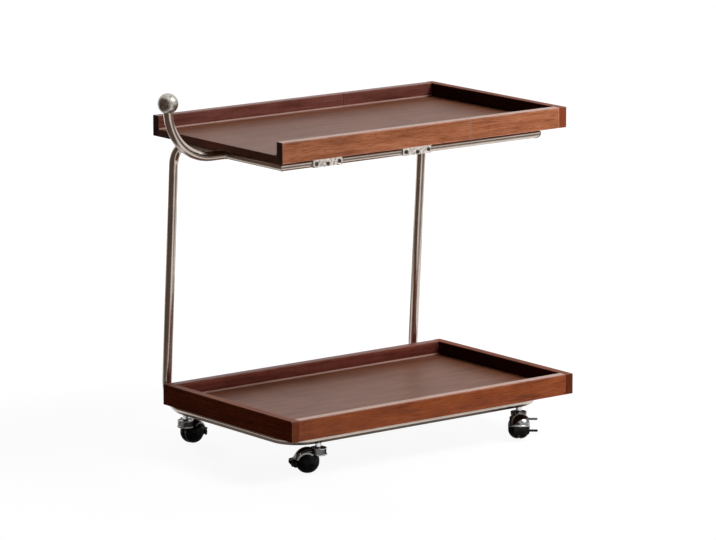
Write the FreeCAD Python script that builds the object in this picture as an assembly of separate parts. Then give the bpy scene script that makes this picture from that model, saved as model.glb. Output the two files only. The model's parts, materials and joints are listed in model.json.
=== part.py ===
import FreeCAD, Part
import math
import os

V = FreeCAD.Vector

# All sizes in mm. While building, x runs from the trays' left end to the right, y from the lower
# tray's front face to the back and z up from the ground. The last step moves the origin to the
# middle of the bounding box's bottom.

# Trays
tray_len = 600.0
tray_depth = 360.0
rail_h = 35.0
rail_t = 16.0
floor_t = 12.0
rail_ease = 1.4             # radius of the eased upper edges of the rails
seam_x = 390.0              # where the tilting and the fixed part of the top meet
seam_gap = 1.0
tier_rise = 457.0           # lower tray's underside to the upper tray's underside
top_setback = 23.0          # the upper tray lies this much further back
tongue_t = 4.0              # floor tongue in the rail groove
tongue_len = 5.0
tongue_slack = 0.15
tongue_stop = 14.0          # the groove ends this far before the end of a rail
dowel_r = 4.0
dowel_len = 30.0
dowel_in_end_rail = 10.0
dowel_slack = 0.1
dowel_levels = (0.37, 0.74)  # as parts of the rail height

# Frame tubes
tube_r = 8.0
tube_wall = 1.5
tube_gap = 5.0              # tube top to tray underside
side_in = 33.0              # side tube axis, in from the tray ends
front_in = 45.0             # front tube axis, in from the tray fronts
leg_back = 38.0             # leg line at the lower tube, behind the lower tray
leg_top_in = 14.0           # leg line at the upper tube, in from the upper tray's back
leg_bend_r = 42.0
leg_lead = 1.0              # straight tube before the leg's first bend
corner_bend_r = 45.0
stretcher_in = 75.0         # rear stretcher axis, in from the upper tray's back
weld_gap = 0.02             # between a coped tube end and the tube it meets

# Handle
handle_run = 33.5           # straight run from the left side tube's axis to the bend
handle_bend_r = 86.0
handle_neck = 10.0          # straight run from the bend to the ball's centre
ball_r = 17.0
ball_socket_depth = 10.0
ball_socket_slack = 0.15

# Tabs, screws and pads that carry the trays
tab_len = 30.0
tab_reach = 25.0            # tab edge inward from the tube axis
tab_overhang = 6.0          # tab edge outward from the tube axis
screw_r = 2.0
screw_head_r = 4.0
screw_head_h = 2.2
screw_bite = 9.0            # length in the wood
screw_slack = 0.05
pad_r = 6.0
pad_clear = 0.1             # pad top to the tilting floor

# Hinges of the tilting part
hinge_len = 60.0
hinge_leaf_t = 1.8
hinge_xs = (119.0, 306.0)
hinge_barrel_r = 2.75
hinge_pin_r = 1.5
hinge_pin_slack = 0.05
hinge_clear = 0.4
hinge_leaf_drop = 20.5      # fixed leaf's lower edge, below the tray
hinge_leaf_reach = 21.0     # moving leaf's inner edge, behind the pin
hinge_screw_pitch = 23.5
hinge_screw_drop = 14.0     # outer screws, below the tray
hinge_screw_stagger = 2.0   # the middle screw sits lower by this
hinge_screw_head_r = 3.3
hinge_screw_head_h = 1.5

# Casters. Their own x axis points from the stem to the wheels.
caster_h = 50.0             # ground to the tube's underside
wheel_r = 20.0              # the two wheels together look like a ball
wheel_half_width = 19.0     # to the top of the domes, which end in flat hubs before it
wheel_dome_end = 72.0       # degrees round the dome from the tread to the hub
wheel_tread = 1.5           # flat running strip of each wheel
wheel_edge = 0.6            # chamfer between the tread and the wheel's inner face
wheel_gap = 0.4             # wheel to the web between the wheels
trail = 18.0                # stem axis to the axle
web_half = 1.2
web_recess = 0.5            # web's edge inside the tread
axle_r = 3.0
axle_half_len = 13.0
axle_end_gap = 0.5
run_slack = 0.05            # running fits of stem, axle and pedal pin
stem_r = 4.0
stem_head_r = 5.0
stem_head_z = 38.5
stem_head_h = 2.5
stem_top_in = 1.0           # stem's top below the lower tube's axis
collar_r = 5.0
collar_gap = 0.5            # collar to the floor of the boss's cup
boss_r = 13.5
boss_z = (31.0, 42.0)       # to the floor of the cup in its top
boss_rim_h = 0.8            # rim of the cup that the collar stands in
boss_rim_t = 2.5
hood_gap = 1.5              # hood to the wheel
hood_t = 2.0
hood_half_width = 16.0
hood_from = 16.0            # degrees from the level line at the pedal side
hood_to = 128.0
hood_boss_gap = 0.2
pedal_outline = (           # x and z from the pedal's pivot
    (-3.5, -8.0), (0.5, -7.0), (7.0, 0.5), (7.0, 2.8), (0.0, 5.0), (-2.2, 5.5),
)
pedal_half_width = 9.0
pedal_pivot_out = 4.0       # pedal pivot beyond the wheel's tread
pedal_pivot_down = 1.0      # pedal pivot below the axle
pedal_pin_r = 1.5
pedal_lug_r = 3.5
pedal_slack = 0.3           # pedal to the sides of the web
pedal_lug_slack = 0.6       # pedal to the round of the web's lug
pedal_side_in = 1.0         # pin's ends inside the pedal's sides
peg_r = 2.0
peg_out = 12.0              # pegs beyond the wheel's side
hood_peg_x = 10.0           # peg on the hood, from the axle
hood_peg_z = 16.0
near_caster_left = 88.0     # stem in from the tray's left end, on the front tube
near_caster_right = 82.0    # stem in from the tray's right end, on the front tube
far_caster_in = 10.0        # stem in from the back ends of the lower tube
caster_turns = (142.0, 232.0, 17.0, 200.0)  # degrees: front left, front right, back left, back right

# Derived positions
left_x = side_in
right_x = tray_len - side_in
low_tube_z = caster_h + tube_r
low_tray_z = low_tube_z + tube_r + tube_gap
top_tray_z = low_tray_z + tier_rise
top_tube_z = top_tray_z - tube_gap - tube_r
low_front_y = front_in
top_front_y = top_setback + front_in
top_back_y = top_setback + tray_depth
foot_y = tray_depth + leg_back
head_y = top_back_y - leg_top_in
stretcher_y = top_back_y - stretcher_in
lean = math.atan2(foot_y - head_y, top_tube_z - low_tube_z)
leg_start_y = foot_y - leg_bend_r * math.tan((math.pi / 2 + lean) / 2) - leg_lead
handle_y = (top_front_y + head_y) / 2
ball_x = left_x - handle_run - handle_bend_r
ball_z = top_tube_z + handle_bend_r + handle_neck
axle_z = wheel_r
ball_room = wheel_r + hood_gap
pivot_x = trail + wheel_r + pedal_pivot_out
pivot_z = axle_z - pedal_pivot_down
peg_end = wheel_half_width + peg_out
hinge_y = top_front_y - tube_r - hinge_leaf_t
hinge_z = top_tray_z - hinge_barrel_r - hinge_clear
caster_spots = (
    (near_caster_left, low_front_y),
    (tray_len - near_caster_right, low_front_y),
    (left_x, leg_start_y - far_caster_in),
    (right_x, leg_start_y - far_caster_in),
)
caster_names = ("front_left", "front_right", "back_left", "back_right")


# Basic shapes

def box(x0, x1, y0, y1, z0, z1):
    return Part.makeBox(x1 - x0, y1 - y0, z1 - z0, V(x0, y0, z0))


def rod(start, end, radius):
    axis = end - start
    return Part.makeCylinder(radius, axis.Length, start, axis)


def prism_y(points, half_width):
    """Outline in x and z, drawn out to both sides in y."""
    corners = [V(x, -half_width, z) for x, z in points]
    face = Part.Face(Part.makePolygon(corners + corners[:1]))
    return face.extrude(V(0, 2 * half_width, 0))


def bent_path(points, radius):
    """Straight runs through the points, with every inner corner bent to the radius."""
    edges = []
    start = points[0]
    for before, corner, after in zip(points, points[1:], points[2:]):
        back = (before - corner).normalize()
        ahead = (after - corner).normalize()
        half = back.getAngle(ahead) / 2
        cut = radius / math.tan(half)
        middle = (back + ahead).normalize()
        mid_point = corner + middle * (radius / math.sin(half) - radius)
        bend_start = corner + back * cut
        bend_end = corner + ahead * cut
        edges.append(Part.makeLine(start, bend_start))
        edges.append(Part.Arc(bend_start, mid_point, bend_end).toShape())
        start = bend_end
    edges.append(Part.makeLine(start, points[-1]))
    return Part.Wire(edges)


def swept(path, direction, radius):
    start = path.Edges[0].firstVertex().Point
    ring = Part.Wire([Part.makeCircle(radius, start, direction)])
    return path.makePipeShell([ring], True, False)


def tube(points, bend_r):
    path = bent_path(points, bend_r)
    direction = points[1] - points[0]
    outside = swept(path, direction, tube_r)
    return outside.cut(swept(path, direction, tube_r - tube_wall))


def corner_block(x, y, toward_x, toward_y):
    """Block that fills one side of the mitre plane through a corner of the upper frame."""
    size = 6 * tube_r
    along = V(toward_x, toward_y, 0) * size
    outward = V(toward_x, -toward_y, 0) * size
    corner = V(x, y, top_tube_z - size)
    points = [corner - along, corner + along, corner + along + outward, corner - along + outward]
    return Part.Face(Part.makePolygon(points + points[:1])).extrude(V(0, 0, 2 * size))


# Trays

def eased(rail, along_x):
    """Rounds the long upper edges of a rail."""
    top = rail.BoundBox.ZMax
    chosen = []
    for edge in rail.Edges:
        size = edge.BoundBox
        long_way = size.XLength if along_x else size.YLength
        if size.ZMin > top - 0.01 and long_way > rail_t + 1:
            chosen.append(edge)
    return rail.makeFillet(rail_ease, chosen)


def groove(x0, x1, y0, y1, tray_z):
    middle = tray_z + floor_t / 2
    half = tongue_t / 2 + tongue_slack
    return box(x0, x1, y0, y1, middle - half, middle + half)


def long_rail(x0, x1, y0, inner_y, tray_z, stops):
    """Front or back rail; the groove stops short where the end of the rail shows."""
    depth = tongue_len + tongue_slack
    y1 = y0 + rail_t
    slot_y = (inner_y - depth, inner_y) if inner_y > y0 + rail_t / 2 else (inner_y, inner_y + depth)
    slot = groove(x0 + stops[0], x1 - stops[1], slot_y[0], slot_y[1], tray_z)
    return eased(box(x0, x1, y0, y1, tray_z, tray_z + rail_h), True).cut(slot)


def end_rail(x0, inner_x, y0, tray_z):
    depth = tongue_len + tongue_slack
    slot_x = (inner_x - depth, inner_x) if inner_x > x0 + rail_t / 2 else (inner_x, inner_x + depth)
    slot = groove(slot_x[0], slot_x[1], y0 + tongue_stop, y0 + tray_depth - tongue_stop, tray_z)
    return eased(box(x0, x0 + rail_t, y0, y0 + tray_depth, tray_z, tray_z + rail_h), False).cut(slot)


def tray_floor(x0, x1, y0, tray_z, tongue_x0, tongue_x1):
    """Floor board with a tongue along its front and back, and at the ends that have a rail."""
    inner_y0 = y0 + rail_t
    inner_y1 = y0 + tray_depth - rail_t
    board = box(x0, x1, inner_y0, inner_y1, tray_z, tray_z + floor_t)
    low = tray_z + (floor_t - tongue_t) / 2
    long_tongue = box(max(x0, tongue_x0 + tongue_stop), min(x1, tongue_x1 - tongue_stop),
                      inner_y0 - tongue_len, inner_y1 + tongue_len, low, low + tongue_t)
    end_tongue = box(max(tongue_x0, x0 - tongue_len), min(tongue_x1, x1 + tongue_len),
                     inner_y0 + 1, inner_y1 - 1, low, low + tongue_t)
    return board.fuse([long_tongue, end_tongue]).removeSplitter()


def corner_dowels(inner_x, into_tray, y0, tray_z, slack):
    """Dowels from one end rail into the front and back rails; into_tray is +1 or -1 in x."""
    start = inner_x - into_tray * (dowel_in_end_rail + slack)
    length = dowel_len + 2 * slack
    dowels = []
    for y in (y0 + rail_t / 2, y0 + tray_depth - rail_t / 2):
        for level in dowel_levels:
            centre = V(start, y, tray_z + rail_h * level)
            dowels.append(rod(centre, centre + V(into_tray * length, 0, 0), dowel_r + slack))
    return dowels


def build_lower_tray():
    inner_x0 = rail_t
    inner_x1 = tray_len - rail_t
    back_y = tray_depth - rail_t
    holes = corner_dowels(inner_x0, 1, 0, low_tray_z, dowel_slack)
    holes += corner_dowels(inner_x1, -1, 0, low_tray_z, dowel_slack)
    dowels = corner_dowels(inner_x0, 1, 0, low_tray_z, 0) + corner_dowels(inner_x1, -1, 0, low_tray_z, 0)
    flush = (0, 0)
    screws, tabs, pilots = tray_fixings(lower_tab_spots(), low_tray_z)
    return {
        "lower_front_rail": long_rail(inner_x0, inner_x1, 0, rail_t, low_tray_z, flush).cut(holes),
        "lower_back_rail": long_rail(inner_x0, inner_x1, back_y, back_y, low_tray_z, flush).cut(holes),
        "lower_left_rail": end_rail(0, inner_x0, 0, low_tray_z).cut(holes),
        "lower_right_rail": end_rail(inner_x1, inner_x1, 0, low_tray_z).cut(holes),
        "lower_floor": tray_floor(inner_x0, inner_x1, 0, low_tray_z, 0, tray_len).cut(pilots),
        "lower_dowels": Part.makeCompound(dowels),
        "lower_tabs": Part.makeCompound(tabs),
        "lower_screws": Part.makeCompound(screws),
    }


def build_fixed_top():
    x0 = seam_x + seam_gap / 2
    inner_x1 = tray_len - rail_t
    y0 = top_setback
    back_y = top_back_y - rail_t
    holes = corner_dowels(inner_x1, -1, y0, top_tray_z, dowel_slack)
    stops = (tongue_stop, 0)
    screws, tabs, pilots = tray_fixings(top_tab_spots(), top_tray_z)
    return {
        "fixed_front_rail": long_rail(x0, inner_x1, y0, y0 + rail_t, top_tray_z, stops).cut(holes),
        "fixed_back_rail": long_rail(x0, inner_x1, back_y, back_y, top_tray_z, stops).cut(holes),
        "fixed_end_rail": end_rail(inner_x1, inner_x1, y0, top_tray_z).cut(holes),
        "fixed_floor": tray_floor(x0, inner_x1, y0, top_tray_z, x0, tray_len).cut(pilots),
        "fixed_dowels": Part.makeCompound(corner_dowels(inner_x1, -1, y0, top_tray_z, 0)),
        "fixed_tabs": Part.makeCompound(tabs),
        "fixed_screws": Part.makeCompound(screws),
    }


def build_tilting_top():
    x1 = seam_x - seam_gap / 2
    y0 = top_setback
    back_y = top_back_y - rail_t
    stops = (tongue_stop, tongue_stop)
    pilots = [moving_leaf_screw(x, screw_slack) for x in moving_screw_xs()]
    screws = [moving_leaf_screw(x, 0) for x in moving_screw_xs()]
    return {
        "tilt_front_rail": long_rail(0, x1, y0, y0 + rail_t, top_tray_z, stops),
        "tilt_back_rail": long_rail(0, x1, back_y, back_y, top_tray_z, stops),
        "tilt_floor": tray_floor(0, x1, y0, top_tray_z, 0, x1).cut(pilots),
        "tilt_leaf_screws": Part.makeCompound(screws),
    }


# Tabs and screws between the tubes and the trays

def lower_tab_spots():
    """Place on a tube's axis and the inward direction from it."""
    spots = []
    for y in (tray_depth * 0.35, tray_depth * 0.75):
        spots.append((left_x, y, 1, 0))
        spots.append((right_x, y, -1, 0))
    for x in (tray_len * 0.35, tray_len * 0.65):
        spots.append((x, low_front_y, 0, 1))
    return spots


def top_tab_spots():
    mid_x = (seam_x + right_x) / 2
    spots = [(mid_x, top_front_y, 0, 1), (mid_x, stretcher_y, 0, -1)]
    for part in (0.25, 0.65):
        spots.append((right_x, top_front_y + part * (stretcher_y - top_front_y), -1, 0))
    return spots


def tray_fixings(spots, tray_z):
    """Screws, welded tabs and pilot holes for the listed places under one tray."""
    tab_z = tray_z - tube_gap
    screws, tabs, pilots = [], [], []
    for x, y, in_x, in_y in spots:
        half_x = tab_len / 2 * abs(in_y)
        half_y = tab_len / 2 * abs(in_x)
        xs = sorted((x - in_x * tab_overhang - half_x, x + in_x * tab_reach + half_x))
        ys = sorted((y - in_y * tab_overhang - half_y, y + in_y * tab_reach + half_y))
        place = tube_r + screw_head_r + 3
        head = V(x + in_x * place, y + in_y * place, tab_z)
        tip = head + V(0, 0, tube_gap + screw_bite)
        hole = rod(head, tip + V(0, 0, screw_slack), screw_r + screw_slack)
        screw = rod(head, tip, screw_r).fuse(rod(head - V(0, 0, screw_head_h), head, screw_head_r))
        tabs.append(box(xs[0], xs[1], ys[0], ys[1], tab_z, tray_z).cut(hole))
        screws.append(screw.removeSplitter())
        pilots.append(hole)
    return screws, tabs, pilots


def build_pads():
    """Rubber pads on the tubes, under the tilting part of the top."""
    along_side = [top_front_y + part * (stretcher_y - top_front_y) for part in (0.3, 0.8)]
    spots = [(left_x, y) for y in along_side]
    spots += [(x, stretcher_y) for x in (seam_x * 0.45, seam_x - 5 * pad_r)]
    top = top_tray_z - pad_clear
    pads = []
    for x, y in spots:
        pad = rod(V(x, y, top_tube_z + tube_r - 3), V(x, y, top), pad_r)
        pads.append(pad.cut(side_tube_core(tube_r + weld_gap)).cut(stretcher_core(tube_r + weld_gap)))
    return Part.makeCompound(pads)


# Frame

def side_tube_core(radius):
    return rod(V(left_x, top_front_y, top_tube_z), V(left_x, head_y - leg_bend_r, top_tube_z), radius)


def right_tube_core(radius):
    return rod(V(right_x, top_front_y, top_tube_z), V(right_x, head_y - leg_bend_r, top_tube_z), radius)


def stretcher_core(radius):
    return rod(V(left_x, stretcher_y, top_tube_z), V(right_x, stretcher_y, top_tube_z), radius)


def stem_holes():
    return [rod(V(x, y, caster_h - 1), V(x, y, low_tube_z), stem_r + dowel_slack) for x, y in caster_spots]


def leg_tube(x, toward_middle):
    """Leg with its bends and its upper side tube, mitred at the front."""
    points = [
        V(x, leg_start_y, low_tube_z),
        V(x, foot_y, low_tube_z),
        V(x, head_y, top_tube_z),
        V(x, top_front_y - 2 * tube_r, top_tube_z),
    ]
    return tube(points, leg_bend_r).cut(corner_block(x, top_front_y, toward_middle, 1))


def build_frame():
    loop = [
        V(left_x, leg_start_y, low_tube_z),
        V(left_x, low_front_y, low_tube_z),
        V(right_x, low_front_y, low_tube_z),
        V(right_x, leg_start_y, low_tube_z),
    ]
    front_start = V(left_x - 2 * tube_r, top_front_y, top_tube_z)
    front_end = V(right_x + 2 * tube_r, top_front_y, top_tube_z)
    front = rod(front_start, front_end, tube_r).cut(rod(front_start, front_end, tube_r - tube_wall))
    front = front.cut(corner_block(left_x, top_front_y, -1, -1))
    front = front.cut(corner_block(right_x, top_front_y, 1, -1))
    stretcher = stretcher_core(tube_r).cut(stretcher_core(tube_r - tube_wall))
    stretcher = stretcher.cut([side_tube_core(tube_r + weld_gap), right_tube_core(tube_r + weld_gap)])
    return {
        "lower_loop_tube": tube(loop, corner_bend_r).cut(stem_holes()),
        "left_leg_tube": leg_tube(left_x, 1),
        "right_leg_tube": leg_tube(right_x, -1),
        "top_front_tube": front.cut([fixed_leaf_screw(x, z, screw_slack) for x, z in fixed_screw_spots()]),
        "rear_stretcher_tube": stretcher,
    }


def build_handle():
    tube_end = ball_z - (ball_r ** 2 - tube_r ** 2) ** 0.5 + ball_socket_depth
    points = [
        V(left_x, handle_y, top_tube_z),
        V(ball_x, handle_y, top_tube_z),
        V(ball_x, handle_y, tube_end),
    ]
    centre = V(ball_x, handle_y, ball_z)
    socket = rod(centre - V(0, 0, 2 * ball_r), V(ball_x, handle_y, tube_end), tube_r + ball_socket_slack)
    return {
        "handle_tube": tube(points, handle_bend_r).cut(side_tube_core(tube_r + weld_gap)),
        "handle_ball": Part.makeSphere(ball_r, centre).cut(socket),
    }


# Hinges

def fixed_screw_spots():
    spots = []
    for x in hinge_xs:
        for step in (-1, 0, 1):
            stagger = 0 if step else hinge_screw_stagger
            spots.append((x + step * hinge_screw_pitch, top_tray_z - hinge_screw_drop - stagger))
    return spots


def fixed_leaf_screw(x, z, slack):
    front = V(x, hinge_y, z)
    shank = rod(front, front + V(0, hinge_leaf_t + tube_r, 0), screw_r + slack)
    head = rod(front - V(0, hinge_screw_head_h, 0), front, hinge_screw_head_r)
    return shank if slack else shank.fuse(head).removeSplitter()


def moving_screw_xs():
    return [x + step * hinge_screw_pitch for x in hinge_xs for step in (-1, 0, 1)]


def moving_leaf_screw(x, slack):
    under = V(x, hinge_y + hinge_leaf_reach * 0.65, top_tray_z - hinge_leaf_t)
    shank = rod(under, under + V(0, 0, hinge_leaf_t + screw_bite + slack), screw_r + slack)
    head = rod(under - V(0, 0, hinge_screw_head_h), under, hinge_screw_head_r)
    return shank if slack else shank.fuse(head).removeSplitter()


def knuckle(x0, x1):
    return rod(V(x0, hinge_y, hinge_z), V(x1, hinge_y, hinge_z), hinge_barrel_r)


def build_hinge(x):
    """Fixed leaf on the front tube, moving leaf under the tilting floor, and the pin."""
    x0 = x - hinge_len / 2
    x1 = x + hinge_len / 2
    inner0 = x0 + 0.3 * hinge_len
    inner1 = x1 - 0.3 * hinge_len
    clear = hinge_barrel_r + hinge_clear
    bore = rod(V(x0 - 1, hinge_y, hinge_z), V(x1 + 1, hinge_y, hinge_z), hinge_pin_r + hinge_pin_slack)
    fixed_leaf = box(x0, x1, hinge_y, hinge_y + hinge_leaf_t, top_tray_z - hinge_leaf_drop, hinge_z)
    fixed_slot = box(inner0, inner1, hinge_y - clear, hinge_y + clear, hinge_z - clear, hinge_z + clear)
    fixed = fixed_leaf.fuse(knuckle(x0, x1)).cut(fixed_slot).cut(bore)
    fixed = fixed.cut([fixed_leaf_screw(sx, sz, screw_slack) for sx, sz in fixed_screw_spots()])
    low = top_tray_z - hinge_leaf_t
    plate = box(x0, x1, hinge_y + clear, hinge_y + hinge_leaf_reach, low, top_tray_z)
    arm0 = inner0 + hinge_clear
    arm1 = inner1 - hinge_clear
    arm = box(arm0, arm1, hinge_y, hinge_y + clear + 1, low, hinge_z + hinge_barrel_r)
    moving = plate.fuse([arm, knuckle(arm0, arm1)]).cut(bore)
    moving = moving.cut([moving_leaf_screw(sx, screw_slack) for sx in moving_screw_xs()])
    pin = rod(V(x0, hinge_y, hinge_z), V(x1, hinge_y, hinge_z), hinge_pin_r)
    return fixed.removeSplitter(), moving.removeSplitter(), pin


def build_hinges():
    left = build_hinge(hinge_xs[0])
    right = build_hinge(hinge_xs[1])
    screws = [fixed_leaf_screw(x, z, 0) for x, z in fixed_screw_spots()]
    return {
        "left_hinge_fixed_leaf": left[0],
        "right_hinge_fixed_leaf": right[0],
        "hinge_screws": Part.makeCompound(screws),
        "left_hinge_moving_leaf": left[1],
        "right_hinge_moving_leaf": right[1],
        "hinge_pins": Part.makeCompound([left[2], right[2]]),
    }


# Casters, built round the stem axis with the wheels toward +x

def along_y(x, z, y0, y1, radius):
    return rod(V(x, y0, z), V(x, y1, z), radius)


def stem_chamber(slack):
    """Stem with its snap head, or the hole that holds it."""
    foot = stem_head_z - slack
    head_top = stem_head_z + stem_head_h + slack
    neck = rod(V(0, 0, foot), V(0, 0, boss_z[1]), stem_r + slack)
    head = rod(V(0, 0, foot), V(0, 0, head_top), stem_head_r + slack)
    return neck.fuse(head)


def caster_stem():
    shank = rod(V(0, 0, stem_head_z), V(0, 0, low_tube_z - stem_top_in), stem_r)
    head = rod(V(0, 0, stem_head_z), V(0, 0, stem_head_z + stem_head_h), stem_head_r)
    collar = rod(V(0, 0, boss_z[1] + collar_gap), V(0, 0, caster_h), collar_r)
    return shank.fuse([head, collar]).removeSplitter()


def swivel_boss():
    """Round boss with a cup in its top, cut away round the wheels but not at the web."""
    rim_top = boss_z[1] + boss_rim_h
    boss = rod(V(0, 0, boss_z[0]), V(0, 0, rim_top), boss_r)
    cup = rod(V(0, 0, boss_z[1]), V(0, 0, rim_top), boss_r - boss_rim_t)
    room = Part.makeSphere(ball_room, V(trail, 0, axle_z))
    room = room.cut(along_y(trail, axle_z, -web_half, web_half, 2 * ball_room))
    return boss.cut([cup, room])


def caster_web():
    """Plate between the wheels: round below, reaching up to the hood above, with an arm for the pedal."""
    disc = along_y(trail, axle_z, -web_half, web_half, wheel_r - web_recess)
    wedge = [(trail, axle_z)]
    for angle in (hood_from, 90.0, hood_to):
        turn = math.radians(angle)
        wedge.append((trail + 2 * ball_room * math.cos(turn), axle_z + 2 * ball_room * math.sin(turn)))
    crown = along_y(trail, axle_z, -web_half, web_half, ball_room).common(prism_y(wedge, web_half))
    arm = prism_y([
        (trail, pivot_z + pedal_lug_r),
        (pivot_x, pivot_z + pedal_lug_r),
        (pivot_x, pivot_z - pedal_lug_r),
        (trail, pivot_z - pedal_lug_r),
    ], web_half)
    lug = along_y(pivot_x, pivot_z, -web_half, web_half, pedal_lug_r)
    return disc.fuse([crown, arm, lug])


def caster_body():
    """Swivel boss and the web that holds the axle and the pedal."""
    body = swivel_boss().fuse(caster_web())
    body = body.cut(stem_chamber(run_slack))
    body = body.cut(along_y(trail, axle_z, -boss_r, boss_r, axle_r + run_slack))
    return body.cut(along_y(pivot_x, pivot_z, -boss_r, boss_r, pedal_pin_r + run_slack)).removeSplitter()


def hood_peg():
    """Peg on the hood's side."""
    peg = along_y(trail + hood_peg_x, axle_z + hood_peg_z, 0, peg_end, peg_r)
    return peg.cut(Part.makeSphere(ball_room + run_slack, V(trail, 0, axle_z)))


def caster_hood():
    """Ball-shaped cover over both wheels, open round the swivel boss, with a peg on one side."""
    inner = ball_room + run_slack
    rims = []
    for radius in (inner, inner + hood_t):
        rim = (radius ** 2 - hood_half_width ** 2) ** 0.5
        rims.append([V(rim, -hood_half_width, 0), V(radius, 0, 0), V(rim, hood_half_width, 0)])
    edges = [Part.Arc(*rim).toShape() for rim in rims]
    edges.insert(1, Part.makeLine(rims[0][2], rims[1][2]))
    edges.append(Part.makeLine(rims[1][0], rims[0][0]))
    edge = Part.Face(Part.Wire(Part.__sortEdges__(edges)))
    upward = V(0, -1, 0)
    edge.rotate(V(0, 0, 0), upward, hood_from)
    shell = edge.revolve(V(0, 0, 0), upward, hood_to - hood_from)
    shell.translate(V(trail, 0, axle_z))
    shell = shell.fuse(hood_peg())
    return shell.cut(rod(V(0, 0, 0), V(0, 0, caster_h), boss_r + hood_boss_gap)).removeSplitter()


def caster_wheel(side):
    """One domed wheel; side is +1 or -1 in y."""
    near = web_half + wheel_gap
    tread_end = near + wheel_edge + wheel_tread
    bore = axle_r + run_slack
    bore_end = axle_half_len + axle_end_gap
    dome = []
    for turn in (0.0, math.radians(wheel_dome_end) / 2, math.radians(wheel_dome_end)):
        rise = (wheel_half_width - tread_end) * math.sin(turn)
        dome.append(V(wheel_r * math.cos(turn), tread_end + rise, 0))
    first = [V(bore, near, 0), V(wheel_r - wheel_edge, near, 0), V(wheel_r, near + wheel_edge, 0), dome[0]]
    last = [dome[2], V(0, dome[2].y, 0), V(0, bore_end, 0), V(bore, bore_end, 0), first[0]]
    edges = [Part.makeLine(a, b) for a, b in zip(first, first[1:])]
    edges.append(Part.Arc(*dome).toShape())
    edges += [Part.makeLine(a, b) for a, b in zip(last, last[1:])]
    wheel = Part.Face(Part.Wire(edges)).revolve(V(0, 0, 0), V(0, 1, 0), 360)
    if side < 0:
        wheel = wheel.mirror(V(0, 0, 0), V(0, 1, 0))
    wheel.translate(V(trail, 0, axle_z))
    return wheel


def caster_pedal():
    """Brake pedal whose cross pin, through the web's lug, ends in a peg on one side."""
    pedal = prism_y([(pivot_x + x, pivot_z + z) for x, z in pedal_outline], pedal_half_width)
    slot = web_half + pedal_slack
    lug_room = along_y(pivot_x, pivot_z, -slot, slot, pedal_lug_r + pedal_lug_slack)
    room = 3 * pedal_lug_r
    arm_room = box(pivot_x - room, pivot_x, -slot, slot, pivot_z - room, pivot_z + room)
    pedal = pedal.cut([lug_room, arm_room])
    inner_end = pedal_half_width - pedal_side_in
    pin = along_y(pivot_x, pivot_z, -inner_end, inner_end, pedal_pin_r)
    peg = along_y(pivot_x, pivot_z, inner_end, peg_end, peg_r)
    return pedal.fuse([pin, peg]).removeSplitter()


def build_casters():
    nodes = {}
    stems = []
    for name, spot, turn in zip(caster_names, caster_spots, caster_turns):
        axle = along_y(trail, axle_z, -axle_half_len, axle_half_len, axle_r)
        pieces = {
            "body": caster_body(),
            "hood": caster_hood(),
            "axle": axle,
            "wheel_a": caster_wheel(1),
            "wheel_b": caster_wheel(-1),
            "pedal": caster_pedal(),
        }
        stem = caster_stem()
        for shape in list(pieces.values()) + [stem]:
            shape.rotate(V(0, 0, 0), V(0, 0, 1), turn)
            shape.translate(V(spot[0], spot[1], 0))
        stems.append(stem)
        for piece, shape in pieces.items():
            nodes["caster_" + name + "_" + piece] = shape
    nodes["caster_stems"] = Part.makeCompound(stems)
    return nodes


def main():
    nodes = {}
    for group in (build_frame(), build_handle(), build_lower_tray(), build_fixed_top(),
                  build_tilting_top(), build_hinges(), build_casters()):
        nodes.update(group)
    nodes["rest_pads"] = build_pads()
    whole = Part.makeCompound(list(nodes.values())).optimalBoundingBox()
    shift = V(-whole.Center.x, -whole.Center.y, 0)
    os.makedirs("parts", exist_ok=True)
    for name, shape in nodes.items():
        shape.translate(shift)
        shape.exportStep(os.path.join("parts", name + ".step"))


main()
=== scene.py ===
import json
import math

import bmesh
import bpy
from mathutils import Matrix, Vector


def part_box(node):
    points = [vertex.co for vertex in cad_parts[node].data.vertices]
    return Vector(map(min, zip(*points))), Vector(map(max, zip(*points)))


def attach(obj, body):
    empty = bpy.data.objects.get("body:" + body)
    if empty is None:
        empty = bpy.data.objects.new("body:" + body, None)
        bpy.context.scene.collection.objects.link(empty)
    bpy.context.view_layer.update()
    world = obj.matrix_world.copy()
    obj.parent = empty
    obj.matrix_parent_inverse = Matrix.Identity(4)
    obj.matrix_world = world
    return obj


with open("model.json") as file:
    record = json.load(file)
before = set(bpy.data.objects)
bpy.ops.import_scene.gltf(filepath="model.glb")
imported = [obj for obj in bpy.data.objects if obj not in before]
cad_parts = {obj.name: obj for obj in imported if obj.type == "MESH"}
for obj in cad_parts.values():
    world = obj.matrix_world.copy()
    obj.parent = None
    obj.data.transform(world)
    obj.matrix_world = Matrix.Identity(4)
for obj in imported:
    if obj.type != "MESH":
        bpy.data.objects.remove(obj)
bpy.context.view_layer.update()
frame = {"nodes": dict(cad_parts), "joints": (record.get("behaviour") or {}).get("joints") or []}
cad = frame["nodes"]

# All lengths in metres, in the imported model's frame: +Z up, -Y the near side, -X the handle's end.

# Camera, found from the photo's tray corners
photo_width = 716
focal_pixels = 4579.0
camera_from_tray = (-4.3722, -5.7921, 1.7204)  # from the lower tray's near left bottom corner
camera_azimuth = 37.895     # degrees
camera_elevation = 11.173   # degrees
sensor_width = 36.0
clip_far = 100.0

# Light
world_fill = 0.035          # what the surroundings give to matt surfaces
floor_size = 40.0
floor_glow_near = 0.92      # the part of the floor's white that no shadow takes away
floor_glow_far = 1.0
floor_fade = (0.5, 2.2)     # where the floor's glow changes, from the middle outward
floor_pale = 0.16
matt_roughness = 0.9        # of the floor and the dark cloths
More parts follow.
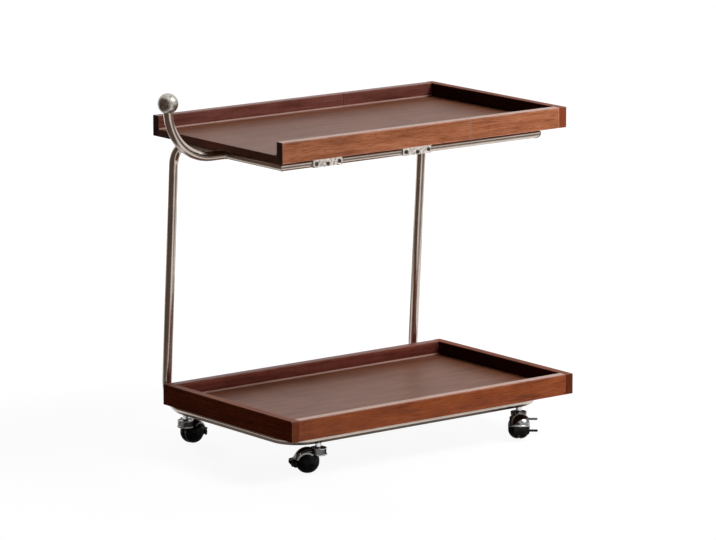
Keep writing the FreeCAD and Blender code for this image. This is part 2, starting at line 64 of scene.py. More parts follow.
# Area lamps; those not seen leave no image of themselves in glossy surfaces
lamps = {
    "front_lamp": {"place": (0.7, -2.4, 0.16), "aim": (0.35, 0.0, 0.56), "size": (1.6, 0.24),
                   "power": 4.8, "spread": 45.0, "seen": False},
    "high_lamp": {"place": (1.5, -1.6, 2.6), "aim": (0.0, 0.0, 0.4), "size": (1.4, 1.4),
                  "power": 52.0, "spread": 180.0, "seen": True},
    "back_lamp": {"place": (0.45, 3.0, 0.8), "aim": (0.0, 0.0, 0.3), "size": (1.2, 1.2),
                  "power": 50.0, "spread": 180.0, "seen": False},
    "side_lamp": {"place": (3.0, 0.3, 0.9), "aim": (0.0, 0.0, 0.3), "size": (1.2, 1.2),
                  "power": 28.0, "spread": 180.0, "seen": False},
}

# Dark cloths that only glossy surfaces show, painted reflections of dark surroundings: an upright flag at
# the handle's end and cards on the floor; the card under the table paints the table's shadow into
# reflections
flag_x = -1.15
flag_half = 3.2             # half its length along y
flag_top = 3.0
flag_fade = 1.2             # width of its soft edges
flag_tone = (0.120, 0.090, 0.072)
under_shadow_tone = (0.160, 0.142, 0.130)
side_tone = (0.280, 0.245, 0.220)
far_tone = (0.300, 0.272, 0.248)
card_z = 0.002
# Each card's tone, its two corners and the width of its soft edges
cards = {
    "end_card": {"tone": flag_tone, "low": (-1.50, -1.60), "high": (-0.36, 1.60), "fade": 0.20},
    "front_card": {"tone": side_tone, "low": (0.12, -2.40), "high": (2.20, -0.50), "fade": 0.08},
    "far_card": {"tone": far_tone, "low": (0.60, -6.00), "high": (5.00, -2.25), "fade": 0.30},
    "back_card": {"tone": side_tone, "low": (-0.30, 0.46), "high": (1.60, 2.20), "fade": 0.15},
    # Painted shadow of the table on the floor, seen only in reflections
    "under_card": {"tone": under_shadow_tone, "low": (-0.36, -0.235), "high": (0.36, 0.25), "fade": 0.03},
}

# Noise and relief in all materials
noise_span = (0.3, 0.7)     # where most of a noise's values lie
plain_roughness = 0.55      # of a noise
own_shift = 37.0            # how far apart the objects' patterns may lie
relief_depth = 0.0001

# Wood grain: features per metre along and across the fibre, with the noise's detail and roughness
figure_grain = {"scale": (14.0, 42.0), "detail": 2.0, "roughness": plain_roughness}
streak_grain = {"scale": (7.0, 190.0), "detail": 5.0, "roughness": 0.6}
fibre_grain = {"scale": (38.0, 1150.0), "detail": 3.0, "roughness": 0.6}
pore_grain = {"scale": (70.0, 2100.0), "detail": 1.0, "roughness": plain_roughness}
figure_share = 0.32         # shares of the tone
streak_share = 0.40
fibre_share = 0.28
tone_stops = (0.36, 0.50, 0.64)  # where the dark, middle and light tones lie
pore_span = (0.32, 0.40)    # from open pores to filled ones
fibre_gloss = (-0.06, 0.08)  # change of roughness over the fibres
fibre_height = 0.6          # heights in the relief
pore_height = 0.5
wood_relief = 0.12

# Kinds of wooden faces, told by how far the normal points along an axis
cut_span = (0.80, 0.95)     # from plain sides to cut ends
cut_cover = 0.75            # how far the end grain's tone covers the stain
top_span = (0.90, 0.99)     # from plain sides to top faces
end_span = (-0.95, -0.80)   # from faces toward the handle's end to plain sides

# Worn edges, paler also from painted highlight
edge_gain = 5.0             # how fast the edge mask grows as the rounded normal turns away
bevel_samples = 4
edge_r = 0.0032             # how far wear and painted highlight reach on wood
rubbing_and_highlight_span = (-0.05, 0.50)   # upward part of the normal, from the lower edges' wear to the upper ones' wear and painted highlight

# Wood tones, each dark, middle and light. The rails are one stain; each rail's tones are set for how it
# is lit, so their differences are painted light and shade: the back rails pinker, the lower back rails
# darker, the lower front rails darker and redder
front_tones = ((0.138, 0.038, 0.014), (0.286, 0.092, 0.039), (0.402, 0.152, 0.074))
low_front_shaded_tones = ((0.124, 0.022, 0.004), (0.258, 0.052, 0.009), (0.366, 0.094, 0.023))
end_tones = ((0.128, 0.022, 0.006), (0.272, 0.056, 0.016), (0.385, 0.102, 0.036))
back_lit_tones = ((0.144, 0.040, 0.029), (0.282, 0.094, 0.073), (0.384, 0.145, 0.117))
low_back_shaded_tones = ((0.102, 0.023, 0.015), (0.200, 0.053, 0.037), (0.272, 0.081, 0.060))
floor_tones = ((0.150, 0.050, 0.024), (0.230, 0.082, 0.040), (0.310, 0.120, 0.062))
# The beads' paler tone is a painted highlight along the joints of floors and rails
bead_highlight_tones = ((0.38, 0.20, 0.16), (0.50, 0.29, 0.24), (0.60, 0.38, 0.32))
dowel_tones = ((0.36, 0.24, 0.13), (0.48, 0.34, 0.19), (0.58, 0.43, 0.26))
# Colour of rubbed edges and top faces, which also stands for painted highlight
rubbed_and_highlight_wood = (0.86, 0.52, 0.40)
# End grain of the rails and of the floor boards
end_cut_tone = (0.160, 0.042, 0.022)
low_cut_tone = (0.085, 0.018, 0.009)
board_cut_tone = (0.300, 0.070, 0.028)
# Painted shading over faces toward the handle's end: painted shade darkens the right rails' inner faces,
# and the left rail's outer face is painted redder and less blue for how it is lit
inner_painted_shade = (0.16, 0.17, 0.24)
left_painted_shading = (1.45, 1.05, 0.70)

# Metal
smudge_noise = {"detail": 5.0, "roughness": 0.6}
scratch_scale = (2600.0, 2600.0, 120.0)
scratch_noise = {"detail": 2.0, "roughness": plain_roughness}
smudge_stops = (0.35, 0.62)  # where the dulled and the full colour lie
smudge_share = 0.7          # shares of the uneven polish
scratch_share = 0.3
scratch_relief = 0.05

# Plastic
dust_scale = 60.0
dust_noise = {"detail": 5.0, "roughness": 0.65}
dust_stops = (0.45, 0.75)   # from clean to dusty
dust_lift = 0.018           # how much paler dust makes it
dust_gloss = (-0.05, 0.10)  # change of roughness with the dust
mould_scale = 1400.0
mould_noise = {"detail": 2.0, "roughness": plain_roughness}
mould_relief = 0.08
rub_r = 0.0008              # how far its rubbed edges reach
rub_lift = 0.05             # how much paler rubbing makes them
rub_cover = 0.25

# Trims
bead_r = 0.0024             # quarter round where the tray floors meet the long rails
bead_steps = 6
lip_r = 0.02255             # bright lip along the hood's edge, from the wheel's centre
lip_rise = 16.0             # degrees above the level line
lip_turn = 45.0             # degrees to each side
lip_thick = 0.0020          # in its middle
lip_taper = 0.25            # thickness left at its ends
side_lip_y = 0.0158         # bright lips along the hood's sides
side_lip_end = 112.0        # degrees above the level line
side_lip_thick = 0.0006
ring_r = 0.0135             # bright ring round the swivel boss's foot
ring_z = 0.0318
ring_turn = 95.0            # degrees to each side of the boss's outer side
ring_thick = 0.0014
outer_side = 180.0          # degrees from the wheels' side
rim_z = 0.0428              # bright rim on the boss's cup
rim_thick = 0.0008
arc_points = 25
wire_resolution = 4

# Weld beads round the frame's joints
weld_r = 0.0008
weld_points = 48
weld_swell = 0.25           # how uneven they are
weld_beat = 2.0
weld_ripple = 5.0

# Wing of the brake pedal that wraps round the wheels
wing_r = 0.0222             # inner radius, from the wheel's centre
wing_turn = 42.0            # degrees to each side
wing_section = ((0.0, -0.0075), (0.0022, -0.0085), (0.0036, -0.0070), (0.0042, -0.0020),
                (0.0036, 0.0008), (0.0018, 0.0016), (0.0, 0.0010))  # out and up from the wheel's centre

caster_names = ("front_left", "front_right", "back_left", "back_right")
along_x = 0
along_y = 1
along_z = 2
# Sockets of a mix node that mixes colours
mix_first = 6
mix_second = 7
mix_result = 2


# Node helpers

def new_material(name):
    material = bpy.data.materials.new(name)
    material.use_nodes = True
    tree = material.node_tree
    return material, tree, tree.nodes["Principled BSDF"]


def add(tree, kind, values=None, links=None, **settings):
    """Adds one node, sets its settings and input values and links its inputs."""
    made = tree.nodes.new("ShaderNode" + kind)
    for key, value in settings.items():
        setattr(made, key, value)
    for key, value in (values or {}).items():
        made.inputs[key].default_value = value
    for key, source in (links or {}).items():
        tree.links.new(source, made.inputs[key])
    return made


def calculate(tree, operation, *terms, clamp=False):
    """A math node over numbers and sockets."""
    made = add(tree, "Math", operation=operation, use_clamp=clamp)
    for index, term in enumerate(terms):
        if isinstance(term, float):
            made.inputs[index].default_value = term
        else:
            tree.links.new(term, made.inputs[index])
    return made.outputs[0]


def weighted(tree, *parts):
    """The sum of (socket, weight) parts."""
    total = calculate(tree, "MULTIPLY", *parts[0])
    for source, weight in parts[1:]:
        total = calculate(tree, "MULTIPLY_ADD", source, weight, total)
    return total


def ramp(tree, source, positions, colours):
    """Colour ramp with the colours at the positions."""
    made = add(tree, "ValToRGB", links={"Fac": source})
    elements = made.color_ramp.elements
    while len(elements) < len(positions):
        elements.new(0.5)
    for element, position, colour in zip(elements, positions, colours):
        element.position = position
        element.color = (*colour, 1.0)
    return made.outputs["Color"]


def span(tree, source, from_low, from_high, low, high):
    """Maps one range of values onto another and stops at its ends."""
    values = {"From Min": from_low, "From Max": from_high, "To Min": low, "To Max": high}
    return add(tree, "MapRange", values, {"Value": source}).outputs["Result"]


def mix_colours(tree, factor, first, second, blend="MIX"):
    """first where factor is 0 and second, or its blend with first, where factor is 1; each of the two
    is a colour or a socket."""
    made = add(tree, "Mix", links={0: factor}, data_type="RGBA", blend_type=blend)
    for index, colour in ((mix_first, first), (mix_second, second)):
        if isinstance(colour, tuple):
            made.inputs[index].default_value = (*colour, 1.0)
        else:
            tree.links.new(colour, made.inputs[index])
    return made.outputs[mix_result]


def noise(tree, place, scale, detail, roughness):
    """Noise with the given features per metre along x, y and z."""
    stretched = add(tree, "Mapping", {"Scale": scale}, {"Vector": place}).outputs[0]
    values = {"Scale": 1.0, "Detail": detail, "Roughness": roughness}
    return add(tree, "TexNoise", values, {"Vector": stretched}).outputs["Fac"]


def own_place(tree):
    """Object coordinates, moved by each object's own amount so that no two boards share a figure."""
    place = add(tree, "TexCoord").outputs["Object"]
    shift = calculate(tree, "MULTIPLY", add(tree, "ObjectInfo").outputs["Random"], own_shift)
    return add(tree, "VectorMath", links={0: place, 1: shift}, operation="ADD").outputs[0]


def relief(tree, source, strength):
    values = {"Strength": strength, "Distance": relief_depth}
    return add(tree, "Bump", values, {"Height": source}).outputs["Normal"]


def uneven_gloss(tree, source, roughness, change):
    """Roughness that changes with a noise, from its low values to its high ones."""
    low, high = change
    return span(tree, source, *noise_span, roughness + low, roughness + high)


def rounded_normal(tree, radius):
    return add(tree, "Bevel", {"Radius": radius}, samples=bevel_samples).outputs["Normal"]


def edge_mask(tree, radius):
    """0 on the flats and up to 1 along edges, from how far a rounded normal turns away."""
    flat = add(tree, "NewGeometry").outputs["Normal"]
    both = {0: rounded_normal(tree, radius), 1: flat}
    cosine = add(tree, "VectorMath", links=both, operation="DOT_PRODUCT")
    turned = calculate(tree, "SUBTRACT", 1.0, cosine.outputs["Value"])
    return calculate(tree, "MULTIPLY", turned, edge_gain, clamp=True)


def face_part(tree, axis):
    """How far the surface's own normal points along one of the object's axes."""
    normal = add(tree, "TexCoord").outputs["Normal"]
    return add(tree, "SeparateXYZ", links={"Vector": normal}).outputs[axis]


def rounded_part(tree, radius, axis):
    """How far a normal that is rounded over the edges points along one of the object's own axes."""
    own = add(tree, "VectorTransform", links={"Vector": rounded_normal(tree, radius)},
              vector_type="NORMAL", convert_from="WORLD", convert_to="OBJECT").outputs["Vector"]
    return add(tree, "SeparateXYZ", links={"Vector": own}).outputs[axis]


def even(amount):
    return (amount, amount, amount)


def paler(colour, lift):
    return tuple(value + lift for value in colour)


# Materials

def grain_noise(tree, place, axis, scale, detail, roughness):
    """Noise drawn out along the fibre's axis."""
    along, across = scale
    stretch = tuple(along if index == axis else across for index in range(3))
    return noise(tree, place, stretch, detail, roughness)


def wood(name, axis, tones, roughness, specular, edge_rubbing_and_highlight=(0.2, 0.5), top_rubbing_and_highlight=0.06, cut_tone=None,
         end_painted_shading=None):
    """Stained wood with its fibre along one axis: figure, streaks, fibres, open pores, end grain in
    cut_tone or else dark, edges paler from wear and painted highlight, given for the lower and the upper
    ones, top faces paler from wear and painted highlight, and, if given, painted shading over the stain
    of faces toward the handle's end."""
    material, tree, shader = new_material(name)
    place = own_place(tree)
    figure = grain_noise(tree, place, axis, **figure_grain)
    streaks = grain_noise(tree, place, axis, **streak_grain)
    fibres = grain_noise(tree, place, axis, **fibre_grain)
    pores = grain_noise(tree, place, axis, **pore_grain)
    dark = tones[0]
    grain = weighted(tree, (figure, figure_share), (streaks, streak_share), (fibres, fibre_share))
    stain = ramp(tree, grain, tone_stops, tones)
    filled = span(tree, pores, *pore_span, 0.0, 1.0)
    stain = mix_colours(tree, filled, dark, stain)
    cut_end = calculate(tree, "ABSOLUTE", face_part(tree, axis))
    stain = mix_colours(tree, span(tree, cut_end, *cut_span, 0.0, cut_cover), stain, cut_tone or dark)
    # Painted shading over faces toward the handle's end, where a tint is given
    if end_painted_shading:
        end_shading_mask = span(tree, face_part(tree, along_x), *end_span, 1.0, 0.0)
        stain = mix_colours(tree, end_shading_mask, stain, end_painted_shading, blend="MULTIPLY")
    # Edges paler from wear, and from painted highlight where the upper edges are paler
    rubbing_and_highlight_here = span(tree, rounded_part(tree, edge_r, along_z), *rubbing_and_highlight_span, *edge_rubbing_and_highlight)
    rubbed_and_lit_edges = calculate(tree, "MULTIPLY", edge_mask(tree, edge_r), rubbing_and_highlight_here)
    stain = mix_colours(tree, rubbed_and_lit_edges, stain, rubbed_and_highlight_wood)
    # Top faces paler from wear and painted highlight
    rubbed_and_lit_top = span(tree, face_part(tree, along_z), *top_span, 0.0, top_rubbing_and_highlight)
    stain = mix_colours(tree, rubbed_and_lit_top, stain, rubbed_and_highlight_wood)
    tree.links.new(stain, shader.inputs["Base Color"])
    tree.links.new(uneven_gloss(tree, fibres, roughness, fibre_gloss), shader.inputs["Roughness"])
    height = weighted(tree, (fibres, fibre_height), (filled, pore_height))
    tree.links.new(relief(tree, height, wood_relief), shader.inputs["Normal"])
    shader.inputs["Specular IOR Level"].default_value = specular
    return material


def metal(name, colour, roughness, scratch=0.04, dulled=0.86, smudge_scale=26.0, metallic=1.0):
    """Polished metal with handling marks, dulled to a part of its colour, fine scratches and slightly
    uneven polish."""
    material, tree, shader = new_material(name)
    place = own_place(tree)
    smudges = noise(tree, place, even(smudge_scale), **smudge_noise)
    scratches = noise(tree, place, scratch_scale, **scratch_noise)
    dull = tuple(dulled * value for value in colour)
    tree.links.new(ramp(tree, smudges, smudge_stops, (dull, colour)), shader.inputs["Base Color"])
    uneven = weighted(tree, (smudges, smudge_share), (scratches, scratch_share))
    gloss = uneven_gloss(tree, uneven, roughness, (-scratch, scratch))
    tree.links.new(gloss, shader.inputs["Roughness"])
    tree.links.new(relief(tree, scratches, scratch_relief), shader.inputs["Normal"])
    shader.inputs["Metallic"].default_value = metallic
    return material


def plastic(name, colour, roughness, specular):
    """Moulded plastic or rubber with a faint texture, dust in patches and rubbed edges."""
    material, tree, shader = new_material(name)
    place = own_place(tree)
    dust = noise(tree, place, even(dust_scale), **dust_noise)
    mould = noise(tree, place, even(mould_scale), **mould_noise)
    skin = ramp(tree, dust, dust_stops, (colour, paler(colour, dust_lift)))
    rubbed = calculate(tree, "MULTIPLY", edge_mask(tree, rub_r), rub_cover)
    skin = mix_colours(tree, rubbed, skin, paler(colour, rub_lift))
    tree.links.new(skin, shader.inputs["Base Color"])
    tree.links.new(uneven_gloss(tree, dust, roughness, dust_gloss), shader.inputs["Roughness"])
    tree.links.new(relief(tree, mould, mould_relief), shader.inputs["Normal"])
    shader.inputs["Specular IOR Level"].default_value = specular
    return material


def assign(material, *names):
    for name in names:
        slots = cad[name].data.materials
        slots.clear()
        slots.append(material)


def dress_rails():
    # The front rails' upper edges and top faces are painted with a highlight as well as wear
    front_rail = wood("rail_wood_front", along_x, front_tones, roughness=0.28, specular=0.25,
                      edge_rubbing_and_highlight=(0.3, 0.9), top_rubbing_and_highlight=0.65)
    low_front_rail = wood("rail_wood_low_front", along_x, low_front_shaded_tones, roughness=0.28, specular=0.25,
                          edge_rubbing_and_highlight=(0.0, 0.9), top_rubbing_and_highlight=0.65)
    # Each rail's tones are a copy of one stain set for how it is lit: painted light and shade
    back_rail = wood("rail_wood_back", along_x, back_lit_tones, roughness=0.32, specular=0.08)
    low_back_rail = wood("rail_wood_low_back", along_x, low_back_shaded_tones, roughness=0.32, specular=0.08)
    # The left rail's outer face and the right rails' inner faces carry painted shading
    left_rail = wood("rail_wood_left", along_y, end_tones, roughness=0.36, specular=0.02,
                     edge_rubbing_and_highlight=(0.05, 0.5), cut_tone=end_cut_tone, end_painted_shading=left_painted_shading)
    right_rail = wood("rail_wood_right", along_y, end_tones, roughness=0.36, specular=0.02,
                      edge_rubbing_and_highlight=(0.05, 0.3), top_rubbing_and_highlight=0.0, cut_tone=low_cut_tone, end_painted_shading=inner_painted_shade)
    top_end_rail = wood("rail_wood_top_end", along_y, end_tones, roughness=0.36, specular=0.02,
                        edge_rubbing_and_highlight=(0.05, 0.3), top_rubbing_and_highlight=0.0, cut_tone=end_cut_tone, end_painted_shading=inner_painted_shade)
    assign(front_rail, "fixed_front_rail", "tilt_front_rail")
    assign(low_front_rail, "lower_front_rail")
    assign(back_rail, "fixed_back_rail", "tilt_back_rail")
    assign(low_back_rail, "lower_back_rail")
    assign(left_rail, "lower_left_rail")
    assign(right_rail, "lower_right_rail")
    assign(top_end_rail, "fixed_end_rail")


def dress_boards():
    board = wood("board_wood", along_x, floor_tones, roughness=0.40, specular=0.16, edge_rubbing_and_highlight=(0.1, 0.3),
                 top_rubbing_and_highlight=0.0, cut_tone=board_cut_tone)
    dowel = wood("dowel_wood", along_x, dowel_tones, roughness=0.60, specular=0.30)
    assign(board, "lower_floor", "fixed_floor", "tilt_floor")
    assign(dowel, "lower_dowels", "fixed_dowels")


def dress_frame():
    tube = metal("frame_tube_steel", (0.60, 0.515, 0.455), roughness=0.18)
    ball = metal("ball_steel", (0.60, 0.56, 0.50), roughness=0.32, scratch=0.08, dulled=0.45,
                 smudge_scale=140.0)
    tab = metal("tab_steel", (0.14, 0.12, 0.10), roughness=0.42)
    leaf = metal("hinge_leaf_steel", (0.94, 0.86, 0.78), roughness=0.45, scratch=0.08, dulled=0.4,
                 smudge_scale=240.0, metallic=0.4)
    screw = metal("screw_steel", (0.14, 0.12, 0.11), roughness=0.30)
    assign(tube, "lower_loop_tube", "left_leg_tube", "right_leg_tube", "top_front_tube",
           "rear_stretcher_tube", "handle_tube")
    assign(tab, "lower_tabs", "fixed_tabs")
    assign(ball, "handle_ball")
    assign(leaf, "left_hinge_fixed_leaf", "right_hinge_fixed_leaf", "left_hinge_moving_leaf",
           "right_hinge_moving_leaf", "hinge_pins")
    assign(screw, "hinge_screws", "lower_screws", "fixed_screws", "tilt_leaf_screws")
    pad = plastic("pad_rubber", even(0.030), roughness=0.70, specular=0.3)
    assign(pad, "rest_pads")


def dress_casters(pedal):
    chrome = metal("caster_chrome", even(0.72), roughness=0.10)
    # The swivel bodies are dark to stand for chrome's dark reflections: painted reflection
    chrome_painted_dark = metal("caster_chrome_painted_dark", (0.17, 0.167, 0.167), roughness=0.12, dulled=0.2,
                        smudge_scale=150.0)
    hood_chrome = metal("caster_hood_chrome", (0.24, 0.235, 0.235), roughness=0.12)
    wheel = plastic("wheel_black_plastic", even(0.005), roughness=0.24, specular=0.09)
    assign(chrome, "caster_stems")
    for name in caster_names:
        assign(chrome, f"caster_{name}_axle")
        assign(chrome_painted_dark, f"caster_{name}_body")
        assign(hood_chrome, f"caster_{name}_hood")
        assign(wheel, f"caster_{name}_wheel_a", f"caster_{name}_wheel_b")
        assign(pedal, f"caster_{name}_pedal")


# Trims

def add_piece(name, data, material, body):
    data.materials.append(material)
    piece = bpy.data.objects.new(name, data)
    bpy.context.scene.collection.objects.link(piece)
    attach(piece, body)


def solid_mesh(name, points, faces):
    """Closed mesh with its faces turned outward."""
    mesh = bpy.data.meshes.new(name)
    mesh.from_pydata(points, [], faces)
    cleaned = bmesh.new()
    cleaned.from_mesh(mesh)
    bmesh.ops.recalc_face_normals(cleaned, faces=cleaned.faces)
    cleaned.to_mesh(mesh)
    cleaned.free()
    return mesh


def swept_mesh(name, points, count):
    """Solid through rings of count points each, closed at both ends."""
    last = len(points) - count
    faces = [tuple(range(count)), tuple(reversed(range(last, last + count)))]
    for start in range(0, last, count):
        after = start + count
        for index in range(count):
            following = (index + 1) % count
            faces.append((start + index, after + index, after + following, start + following))
    return solid_mesh(name, points, faces)


def bead_mesh(name, left, right, corner_y, corner_z, side):
    """Quarter round from left to right in the corner of a floor and a rail; side is +1 or -1,
    the way from the rail to the floor's middle."""
    turns = [math.pi / 2 * step / bead_steps for step in range(bead_steps + 1)]
    profile = [(0.0, 0.0)]
    for turn in turns:
        profile.append((bead_r * math.cos(turn), bead_r * math.sin(turn)))
    points = []
    for x in (left, right):
        for out, up in profile:
            points.append((x, corner_y + side * out, corner_z + up))
    return swept_mesh(name, points, len(profile))


def add_beads():
    # Paler than the rails: painted highlight along the joint
    material = wood("bead_wood", along_x, bead_highlight_tones, roughness=0.30, specular=0.3)
    lower_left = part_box("lower_left_rail")[1].x
    lower_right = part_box("lower_right_rail")[0].x
    tilt_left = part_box("tilt_back_rail")[0].x
    tilt_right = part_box("tilt_back_rail")[1].x
    fixed_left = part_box("fixed_back_rail")[0].x
    fixed_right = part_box("fixed_end_rail")[0].x
    runs = (("lower", "frame", lower_left, lower_right), ("fixed", "frame", fixed_left, fixed_right),
            ("tilt", "tilting_top", tilt_left, tilt_right))
    for part, body, left, right in runs:
        floor_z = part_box(f"{part}_floor")[1].z
        front_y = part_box(f"{part}_front_rail")[1].y
        back_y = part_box(f"{part}_back_rail")[0].y
        for end, y, side in (("front", front_y, 1.0), ("back", back_y, -1.0)):
            name = f"{part}_{end}_bead"
            add_piece(name, bead_mesh(name, left, right, y, floor_z, side), material, body)


def wire(name, points, thick, end_part=1.0):
    """Round wire through the points, thick in its middle and end_part as thick at its ends."""
    curve = bpy.data.curves.new(name, "CURVE")
    curve.dimensions = "3D"
    curve.bevel_depth = thick
    curve.bevel_resolution = wire_resolution
    curve.use_fill_caps = True
    spline = curve.splines.new("POLY")
    spline.points.add(len(points) - 1)
    for index, (target, point) in enumerate(zip(spline.points, points)):
        target.co = (*point, 1.0)
        bulge = math.sin(math.pi * index / (len(points) - 1))
        target.radius = end_part + (1.0 - end_part) * bulge
    return curve


def weld_bead(name, points):
    """Closed bead of weld metal, a little uneven along its length."""
    curve = wire(name, points, weld_r)
    spline = curve.splines[0]
    spline.use_cyclic_u = True
    for index, target in enumerate(spline.points):
        swell = math.sin(weld_beat * index) * math.cos(weld_ripple * index)
        target.radius = 1.0 + weld_swell * swell
    return curve


def middle_of(node):
    """Middle of a node's box."""
    low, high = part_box(node)
    return (low + high) / 2


def add_welds():
    """Beads at the mitred front corners of the top frame and at the coped ends of the cross tubes."""
    material = metal("weld_steel", (0.50, 0.46, 0.42), roughness=0.30, scratch=0.08, dulled=0.5,
                     smudge_scale=400.0)
    low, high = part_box("top_front_tube")
    radius = (high.z - low.z) / 2
    level = (low.z + high.z) / 2
    # Each weld's tube, the side tube that it meets, which way along x, and whether the joint is coped
    joints = (("left_corner_weld", "top_front_tube", "left", 1.0, False),
              ("right_corner_weld", "top_front_tube", "right", -1.0, False),
              ("handle_weld", "handle_tube", "left", -1.0, True),
              ("left_stretcher_weld", "rear_stretcher_tube", "left", 1.0, True),
              ("right_stretcher_weld", "rear_stretcher_tube", "right", -1.0, True))
    for name, node, side, way, coped in joints:
        x = middle_of(f"{side}_leg_tube").x
        y = middle_of(node).y
        points = []
        for index in range(weld_points):
            turn = 2.0 * math.pi * index / weld_points
            across = radius * math.sin(turn)
            along = abs(across) if coped else across
            points.append((x + way * along, y + across, level + radius * math.cos(turn)))
        add_piece(name, weld_bead(name, points), material, "frame")


def sweep(middle, half):
    """Angles in radians from middle - half to middle + half, given in degrees."""
    step = 2.0 * half / (arc_points - 1)
    return [math.radians(middle - half + step * index) for index in range(arc_points)]


def arc(middle, radius, from_way, toward, turns):
    """Points round middle, turned from one direction toward another."""
    return [middle + radius * (math.cos(turn) * from_way + math.sin(turn) * toward) for turn in turns]


def wing_mesh(name, wheel, ahead, aside):
    """Crescent swept round the wheels at the pedal's side."""
    points = []
    for turn in sweep(0.0, wing_turn):
        out_way = math.cos(turn) * ahead + math.sin(turn) * aside
        for out, up in wing_section:
            points.append(wheel + (wing_r + out) * out_way + Vector((0.0, 0.0, up)))
    return swept_mesh(name, points, len(wing_section))


def add_wire(body, trim, points, thick, chrome, end_part=1.0):
    """Bright wire on a caster's swivel body."""
    name = f"{body}_{trim}"
    add_piece(name, wire(name, points, thick, end_part), chrome, body)


def trim_caster(body, stem, chrome, pedal):
    """Lips of the hood, wing of the pedal, and ring and rim of the boss."""
    wheel = middle_of(f"{body}_axle")
    ahead = Vector((wheel.x - stem.x, wheel.y - stem.y, 0.0)).normalized()
    aside = Vector((-ahead.y, ahead.x, 0.0))
    up = Vector((0.0, 0.0, 1.0))
    rise = math.radians(lip_rise)
    level = ahead * math.cos(rise) + up * math.sin(rise)
    lip = arc(wheel, lip_r, level, aside, sweep(0.0, lip_turn))
    add_wire(body, "hood_lip", lip, lip_thick, chrome, lip_taper)
    side_r = math.sqrt(lip_r ** 2 - side_lip_y ** 2)
    side_middle = (lip_rise + side_lip_end) / 2
    side_turns = sweep(side_middle, side_lip_end - side_middle)
    for end, side in (("a", 1.0), ("b", -1.0)):
        edge = arc(wheel + side * side_lip_y * aside, side_r, ahead, up, side_turns)
        add_wire(body, f"side_lip_{end}", edge, side_lip_thick, chrome)
    wing = f"{body}_pedal_wing"
    add_piece(wing, wing_mesh(wing, wheel, ahead, aside), pedal, f"{body}_pedal")
    ring_turns = sweep(outer_side, ring_turn)
    foot = Vector((stem.x, stem.y, ring_z))
    add_wire(body, "boss_ring", arc(foot, ring_r, ahead, aside, ring_turns), ring_thick, chrome)
    top = Vector((stem.x, stem.y, rim_z - rim_thick))
    add_wire(body, "boss_rim", arc(top, ring_r, ahead, aside, ring_turns), rim_thick, chrome)


def trim_casters(pedal):
    # Half white matt, so the trims read bright as chrome highlights: painted highlight
    chrome = metal("caster_trim_painted_highlight", even(0.95), roughness=0.15, metallic=0.5)
    swivels = {joint["child"]: Vector(joint["pos_m"]) for joint in frame["joints"]}
    for name in caster_names:
        body = f"caster_{name}"
        trim_caster(body, swivels[body], chrome, pedal)


# Studio

def background_seen(tree):
    """1 for rays that show the background: straight from the camera, or by gloss or glass."""
    path = add(tree, "LightPath")
    seen = calculate(tree, "MAXIMUM", path.outputs["Is Camera Ray"], path.outputs["Is Glossy Ray"])
    return calculate(tree, "MAXIMUM", seen, path.outputs["Is Transmission Ray"])


def make_world():
    world = bpy.data.worlds.new("studio")
    bpy.context.scene.world = world
    world.use_nodes = True
    tree = world.node_tree
    strength = span(tree, background_seen(tree), 0.0, 1.0, world_fill, 1.0)
    tree.links.new(strength, tree.nodes["Background"].inputs["Strength"])
    tree.nodes["Background"].inputs["Color"].default_value = (1.0, 1.0, 1.0, 1.0)


def matt_material(name, colour, glow):
    """Dull material with a glow of its own."""
    material, tree, shader = new_material(name)
    shader.inputs["Base Color"].default_value = (*colour, 1.0)
    shader.inputs["Roughness"].default_value = matt_roughness
    shader.inputs["Specular IOR Level"].default_value = 0.0
    shader.inputs["Emission Color"].default_value = (*glow, 1.0)
    return material, tree, shader


def make_sheet(name, corners, material):
    """Four-cornered sheet of the studio."""
    mesh = bpy.data.meshes.new(name)
    mesh.from_pydata(corners, [], [(0, 1, 2, 3)])
    mesh.materials.append(material)
    sheet = bpy.data.objects.new(name, mesh)
    bpy.context.scene.collection.objects.link(sheet)
    return sheet


def level_corners(low, high, z):
    return ((low[0], low[1], z), (high[0], low[1], z), (high[0], high[1], z), (low[0], high[1], z))


def make_floor():
    material, tree, shader = matt_material("pale_floor", even(floor_pale), even(1.0))
    far = add(tree, "VectorMath", links={0: add(tree, "TexCoord").outputs["Object"]}, operation="LENGTH")
    glow = span(tree, far.outputs["Value"], *floor_fade, floor_glow_near, floor_glow_far)
    glow = calculate(tree, "MULTIPLY", background_seen(tree), glow)
    tree.links.new(glow, shader.inputs["Emission Strength"])
    half = floor_size / 2
    make_sheet("floor", level_corners((-half, -half), (half, half), 0.0), material)


def dark_cloth(name, tone, low, high, axes, fade):
    """Dark cloth between two corners along two axes, with soft edges."""
    material, tree, shader = matt_material(name, even(0.0), tone)
    shader.inputs["Emission Strength"].default_value = 1.0
    place = add(tree, "SeparateXYZ", links={0: add(tree, "TexCoord").outputs["Object"]}).outputs
    covers = []
    for axis, start, end in zip(axes, low, high):
        middle = (start + end) / 2
        out = calculate(tree, "ABSOLUTE", calculate(tree, "SUBTRACT", place[axis], middle))
        covers.append(span(tree, out, end - middle - fade, end - middle, 1.0, 0.0))
    tree.links.new(calculate(tree, "MULTIPLY", *covers), shader.inputs["Alpha"])
    return material


def show_in_gloss_only(sheet):
    sheet.visible_camera = False
    sheet.visible_diffuse = False
    sheet.visible_shadow = False


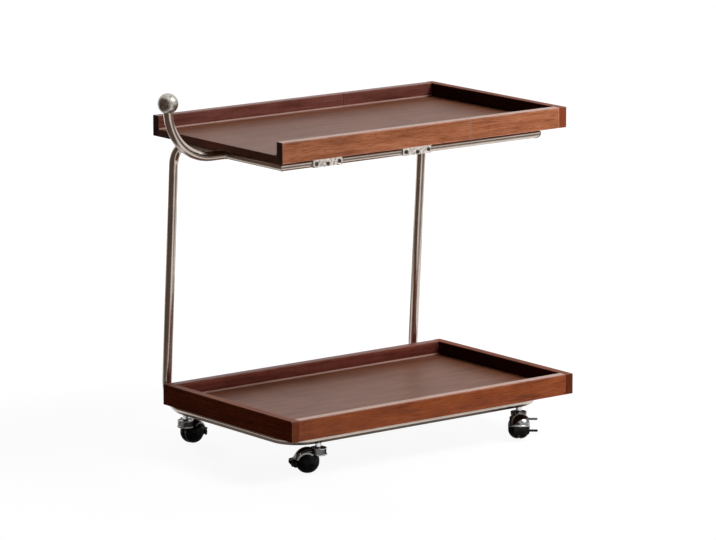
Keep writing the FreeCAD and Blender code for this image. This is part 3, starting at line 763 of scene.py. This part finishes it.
def make_flag():
    """Dark upright panel beside the object, a painted reflection that only glossy surfaces show. It
    stands on the floor, so only its ends and top are soft.
    """
    low = (-flag_half, -flag_top)
    high = (flag_half, flag_top)
    corners = ((flag_x, -flag_half, 0.0), (flag_x, flag_half, 0.0),
               (flag_x, flag_half, flag_top), (flag_x, -flag_half, flag_top))
    cloth = dark_cloth("flag_cloth", flag_tone, low, high, "YZ", flag_fade)
    show_in_gloss_only(make_sheet("flag", corners, cloth))


def make_card(name, tone, low, high, fade):
    """Dark card on the floor, a painted reflection that only glossy surfaces show."""
    cloth = dark_cloth(f"{name}_cloth", tone, low, high, "XY", fade)
    show_in_gloss_only(make_sheet(name, level_corners(low, high, card_z), cloth))


def make_lamp(name, place, aim, size, power, spread, seen):
    data = bpy.data.lights.new(name, "AREA")
    data.shape = "RECTANGLE"
    data.size, data.size_y = size
    data.energy = power
    data.spread = math.radians(spread)
    lamp = bpy.data.objects.new(name, data)
    bpy.context.scene.collection.objects.link(lamp)
    lamp.visible_camera = False
    lamp.visible_glossy = seen
    lamp.location = place
    lamp.rotation_euler = (Vector(aim) - Vector(place)).to_track_quat("-Z", "Y").to_euler()


def make_camera():
    data = bpy.data.cameras.new("photo_camera")
    data.sensor_width = sensor_width
    data.lens = sensor_width * focal_pixels / photo_width
    data.clip_end = clip_far
    camera = bpy.data.objects.new("photo_camera", data)
    bpy.context.scene.collection.objects.link(camera)
    camera.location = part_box("lower_left_rail")[0] + Vector(camera_from_tray)
    tilt = math.radians(90.0 - camera_elevation)
    camera.rotation_euler = (tilt, 0.0, -math.radians(camera_azimuth))
    bpy.context.scene.camera = camera


def make_studio():
    make_world()
    make_floor()
    make_flag()
    for name, card in cards.items():
        make_card(name, **card)
    for name, lamp in lamps.items():
        make_lamp(name, **lamp)
    make_camera()
    bpy.context.scene.view_settings.view_transform = "Standard"


pedal_plastic = plastic("pedal_black_plastic", even(0.006), roughness=0.36, specular=0.16)
dress_rails()
dress_boards()
dress_frame()
dress_casters(pedal_plastic)
add_beads()
add_welds()
trim_casters(pedal_plastic)
make_studio()
